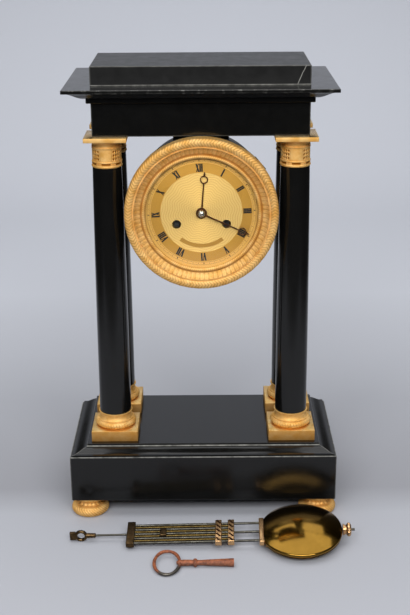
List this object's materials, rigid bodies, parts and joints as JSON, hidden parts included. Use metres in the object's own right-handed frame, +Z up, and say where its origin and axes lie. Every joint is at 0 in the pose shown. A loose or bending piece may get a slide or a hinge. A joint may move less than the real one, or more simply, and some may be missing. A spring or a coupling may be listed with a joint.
{
  "type": "portico clock",
  "caption": "Portico mantel clock: black marble base and entablature on columns with gilt mounts, a round striking movement in a glazed bezel, with its gridiron pendulum and key.",
  "frame": {"origin": "on the floor under the middle of the base", "axes": "+Z up, the dial faces -Y, +X to the viewer's right"},
  "size_m": [0.2669, 0.244, 0.4255],
  "materials": {
    "black_marble": "polished black marble with a few pale veins and worn edges",
    "gilt_bronze": "chased and gilt bronze, burnished on the high places",
    "gilt_dial": "engine-turned gilt brass with a satin chapter ring",
    "blued_steel": "steel hands tempered brown",
    "polished_steel": "polished steel",
    "dark_iron": "dark wrought iron",
    "tinned_drum": "dull grey sheet metal",
    "movement_brass": "lacquered brass",
    "rusty_iron": "iron with brown rust",
    "clear_glass": "clear domed glass"
  },
  "bodies": {
    "case": {"base_block": "black_marble", "base_top": "black_marble", "foot_front_left": "gilt_bronze", "foot_front_right": "gilt_bronze", "foot_rear_left": "gilt_bronze", "foot_rear_right": "gilt_bronze", "column_base_front_left": "gilt_bronze", "column_base_front_right": "gilt_bronze", "column_base_rear_left": "gilt_bronze", "column_base_rear_right": "gilt_bronze", "column_front_left": "black_marble", "column_front_right": "black_marble", "column_rear_left": "black_marble", "column_rear_right": "black_marble", "capital_front_left": "gilt_bronze", "capital_front_right": "gilt_bronze", "capital_rear_left": "gilt_bronze", "capital_rear_right": "gilt_bronze", "tie_rods": "dark_iron", "tie_rod_nuts": "dark_iron", "frieze": "black_marble", "cornice": "black_marble", "attic_block": "black_marble", "drum_shell": "tinned_drum", "drum_saddle": "dark_iron", "saddle_screws": "polished_steel", "dial": "gilt_dial", "bezel_hinge_pin": "polished_steel", "front_plate": "movement_brass", "back_plate": "movement_brass", "plate_pillars": "movement_brass", "suspension_cock": "movement_brass", "bell": "movement_brass", "bell_stand": "movement_brass"},
    "bezel_door": {"bezel": "gilt_bronze", "bezel_glass": "clear_glass"},
    "minute_hand_set": {"minute_hand": "blued_steel", "hand_boss": "polished_steel", "cannon_pinion": "polished_steel"},
    "minute_wheel_set": {"minute_wheel": "movement_brass"},
    "hour_hand_set": {"hour_hand": "blued_steel", "hour_wheel": "movement_brass"},
    "third_wheel_set": {"third_wheel": "movement_brass"},
    "centre_wheel_set": {"centre_arbor": "movement_brass"},
    "intermediate_wheel_set": {"intermediate_wheel": "movement_brass"},
    "going_barrel_set": {"going_barrel": "movement_brass"},
    "escape_wheel_set": {"escape_wheel": "movement_brass"},
    "anchor_set": {"anchor": "polished_steel"},
    "going_winder": {"going_arbor": "polished_steel"},
    "strike_winder": {"strike_arbor": "polished_steel"},
    "strike_barrel_set": {"strike_barrel": "movement_brass"},
    "count_wheel_set": {"count_wheel": "movement_brass"},
    "hammer_set": {"hammer": "polished_steel"},
    "pendulum": {"pendulum_hook": "polished_steel", "pendulum_steel_rods": "polished_steel", "pendulum_brass_rods": "movement_brass", "pendulum_bars": "movement_brass", "pendulum_bob": "movement_brass"},
    "rating_nut_set": {"rating_nut": "movement_brass"},
    "key": {"winding_key": "rusty_iron"}
  },
  "joints": [
    {"name": "bezel_hinge", "type": "hinge", "parent": "case", "child": "bezel_door", "pos_m": [0.05186, -0.04325, 0.33922], "axis": [-0.6428, 0, 0.766], "range_deg": [0, 85]},
    {"name": "minute_hand_turn", "type": "hinge", "parent": "case", "child": "minute_hand_set", "pos_m": [0, 0, 0.2957], "axis": [0, 1, 0], "continuous": true},
    {"name": "minute_wheel_turn", "type": "hinge", "parent": "case", "child": "minute_wheel_set", "pos_m": [0, 0, 0.2817], "axis": [0, 1, 0], "continuous": true},
    {"name": "hour_hand_turn", "type": "hinge", "parent": "case", "child": "hour_hand_set", "pos_m": [0, 0, 0.2957], "axis": [0, 1, 0], "continuous": true},
    {"name": "third_wheel_turn", "type": "hinge", "parent": "case", "child": "third_wheel_set", "pos_m": [-0.00792, 0, 0.30942], "axis": [0, 1, 0], "continuous": true},
    {"name": "centre_wheel_turn", "type": "hinge", "parent": "case", "child": "centre_wheel_set", "pos_m": [0, 0, 0.2957], "axis": [0, 1, 0], "continuous": true},
    {"name": "intermediate_wheel_turn", "type": "hinge", "parent": "case", "child": "intermediate_wheel_set", "pos_m": [0.01377, 0, 0.30532], "axis": [0, 1, 0], "continuous": true},
    {"name": "going_barrel_turn", "type": "hinge", "parent": "case", "child": "going_barrel_set", "pos_m": [0.0224, 0, 0.285], "axis": [0, 1, 0], "continuous": true},
    {"name": "escape_wheel_turn", "type": "hinge", "parent": "case", "child": "escape_wheel_set", "pos_m": [0, 0, 0.32144], "axis": [0, 1, 0], "continuous": true},
    {"name": "anchor_rock", "type": "hinge", "parent": "case", "child": "anchor_set", "pos_m": [0, 0, 0.33344], "axis": [0, 1, 0], "range_deg": [-3.5, 3.5]},
    {"name": "going_winding", "type": "hinge", "parent": "case", "child": "going_winder", "pos_m": [0.0224, 0, 0.285], "axis": [0, 1, 0], "continuous": true},
    {"name": "strike_winding", "type": "hinge", "parent": "case", "child": "strike_winder", "pos_m": [-0.0224, 0, 0.285], "axis": [0, 1, 0], "continuous": true},
    {"name": "strike_barrel_turn", "type": "hinge", "parent": "case", "child": "strike_barrel_set", "pos_m": [-0.0224, 0, 0.285], "axis": [0, 1, 0], "continuous": true},
    {"name": "count_wheel_turn", "type": "hinge", "parent": "case", "child": "count_wheel_set", "pos_m": [-0.022, 0, 0.3037], "axis": [0, 1, 0], "continuous": true},
    {"name": "hammer_lift", "type": "hinge", "parent": "case", "child": "hammer_set", "pos_m": [-0.04, 0, 0.3097], "axis": [0, 1, 0], "range_deg": [0, 12]},
    {"name": "pendulum_lift", "type": "slide", "parent": "case", "child": "pendulum", "axis": [0, 0, 1], "range_m": [0, 0.12]},
    {"name": "rating_nut_turn", "type": "hinge", "parent": "pendulum", "child": "rating_nut_set", "pos_m": [0.13257, -0.1214, 0.01399], "axis": [0.9993, -0.0209, 0.0322], "continuous": true},
    {"name": "key_lift", "type": "slide", "parent": "case", "child": "key", "axis": [0, 0, 1], "range_m": [0, 0.12]}
  ],
  "couplings": [
    {"joint": "minute_wheel_turn", "follows": "minute_hand_turn", "ratio": -0.33333},
    {"joint": "hour_hand_turn", "follows": "minute_hand_turn", "ratio": 0.083333},
    {"joint": "centre_wheel_turn", "follows": "third_wheel_turn", "ratio": -0.1},
    {"joint": "intermediate_wheel_turn", "follows": "third_wheel_turn", "ratio": 0.016667},
    {"joint": "going_barrel_turn", "follows": "third_wheel_turn", "ratio": -0.0025},
    {"joint": "escape_wheel_turn", "follows": "third_wheel_turn", "ratio": -11},
    {"joint": "count_wheel_turn", "follows": "strike_barrel_turn", "ratio": 1}
  ]
}
